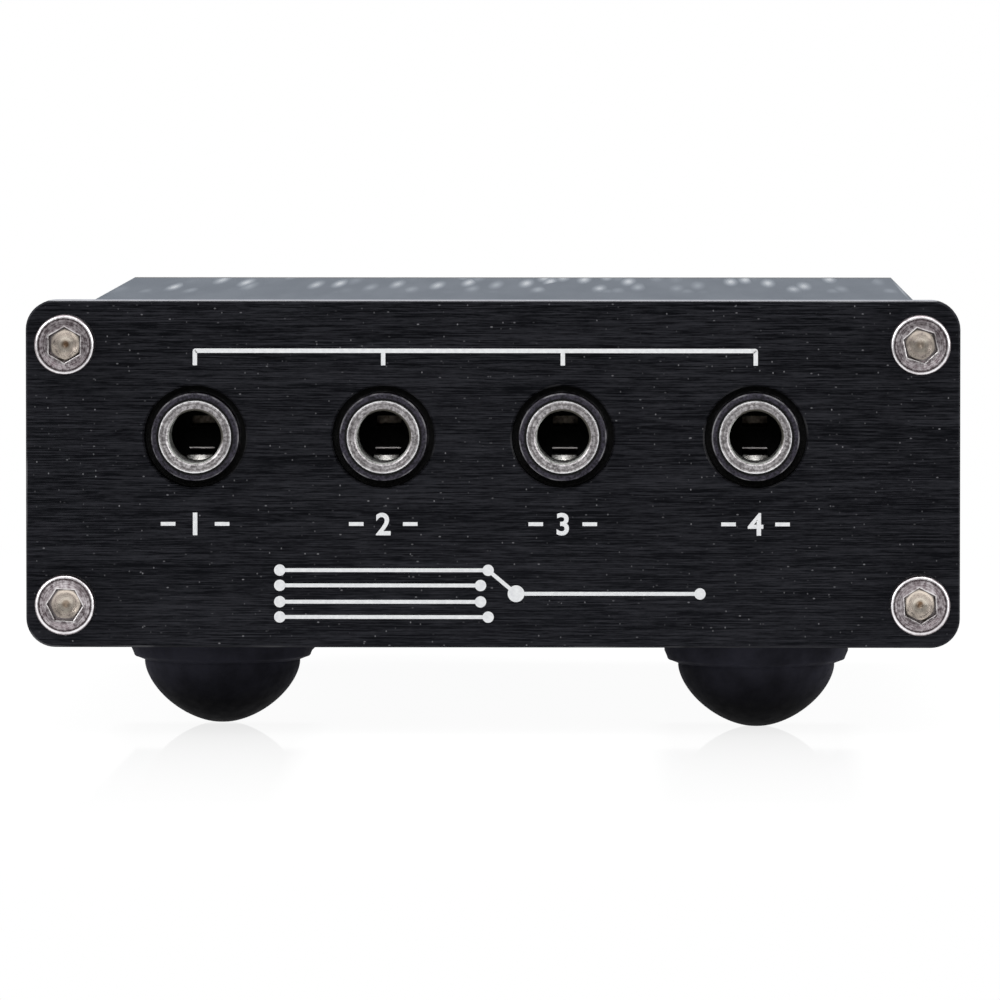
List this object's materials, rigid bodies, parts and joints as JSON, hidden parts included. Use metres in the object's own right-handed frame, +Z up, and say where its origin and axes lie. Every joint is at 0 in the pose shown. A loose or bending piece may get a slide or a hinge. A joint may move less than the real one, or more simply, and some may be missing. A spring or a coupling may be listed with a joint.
{
  "type": "audio source selector",
  "caption": "Small metal box with a row of 3.5 mm input jacks on one panel, and a rotary selector knob with an output jack on the other, standing on round rubber feet.",
  "frame": {"origin": "middle of the object's box in X and Y, on the surface it stands on", "axes": "+X to the right seen from the input side, +Y from the input panel to the selector panel, +Z up"},
  "size_m": [0.064, 0.094, 0.0298],
  "materials": {
    "case_anodised": "blasted and anodised dark grey",
    "panel_brushed_black": "brushed along its length and anodised black",
    "screw_nickel": "bright plated",
    "foot_rubber": "smooth moulded",
    "adhesive": "foam tape",
    "circuit_board": "green lacquer on glass laminate",
    "jack_plastic": "moulded dark",
    "jack_nickel": "turned and nickel plated",
    "contact_metal": "plated spring strip",
    "header_plastic": "moulded black",
    "pin_metal": "tinned",
    "switch_zinc": "die cast and plated",
    "switch_steel": "plated",
    "switch_plastic": "moulded black",
    "switch_wafer": "phenolic laminate",
    "shaft_aluminium": "turned",
    "knob_aluminium": "turned and anodised black",
    "pointer_white": "filled line"
  },
  "bodies": {
    "case": {"bottom_shell": "case_anodised", "foot_adhesive_discs": "adhesive", "foot_front_left": "foot_rubber", "foot_front_right": "foot_rubber", "foot_rear_left": "foot_rubber", "foot_rear_right": "foot_rubber", "input_1_jack_housing": "jack_plastic", "input_1_jack_rear_contact": "contact_metal", "input_1_jack_ring_spring": "contact_metal", "input_1_jack_sleeve": "jack_nickel", "input_1_jack_tip_spring": "contact_metal", "input_2_jack_housing": "jack_plastic", "input_2_jack_rear_contact": "contact_metal", "input_2_jack_ring_spring": "contact_metal", "input_2_jack_sleeve": "jack_nickel", "input_2_jack_tip_spring": "contact_metal", "input_3_jack_housing": "jack_plastic", "input_3_jack_rear_contact": "contact_metal", "input_3_jack_ring_spring": "contact_metal", "input_3_jack_sleeve": "jack_nickel", "input_3_jack_tip_spring": "contact_metal", "input_4_jack_housing": "jack_plastic", "input_4_jack_rear_contact": "contact_metal", "input_4_jack_ring_spring": "contact_metal", "input_4_jack_sleeve": "jack_nickel", "input_4_jack_tip_spring": "contact_metal", "input_panel": "panel_brushed_black", "input_panel_screws": "screw_nickel", "link_header": "header_plastic", "link_pins": "pin_metal", "main_board": "circuit_board", "output_jack_housing": "jack_plastic", "output_jack_rear_contact": "contact_metal", "output_jack_ring_spring": "contact_metal", "output_jack_sleeve": "jack_nickel", "output_jack_tip_spring": "contact_metal", "selector_panel": "panel_brushed_black", "selector_panel_screws": "screw_nickel", "switch_board": "circuit_board", "switch_body": "switch_plastic", "switch_bushing": "switch_zinc", "switch_nut": "switch_steel", "switch_rivets": "contact_metal", "switch_stator": "switch_wafer", "switch_terminals": "pin_metal", "switch_washer": "switch_steel", "top_shell": "case_anodised"},
    "selector": {"selector_shaft": "shaft_aluminium", "shaft_clip": "switch_steel", "index_hub": "switch_plastic", "detent_balls": "switch_steel", "detent_spring": "switch_steel", "switch_rotor": "switch_plastic", "switch_wipers": "contact_metal", "selector_knob": "knob_aluminium", "knob_pointer": "pointer_white", "knob_set_screw": "switch_steel"}
  },
  "joints": [
    {"name": "selector_turn", "type": "hinge", "parent": "case", "child": "selector", "pos_m": [-0.01, 0.034, 0.0179], "axis": [0, -1, 0], "range_deg": [0, 90]}
  ]
}
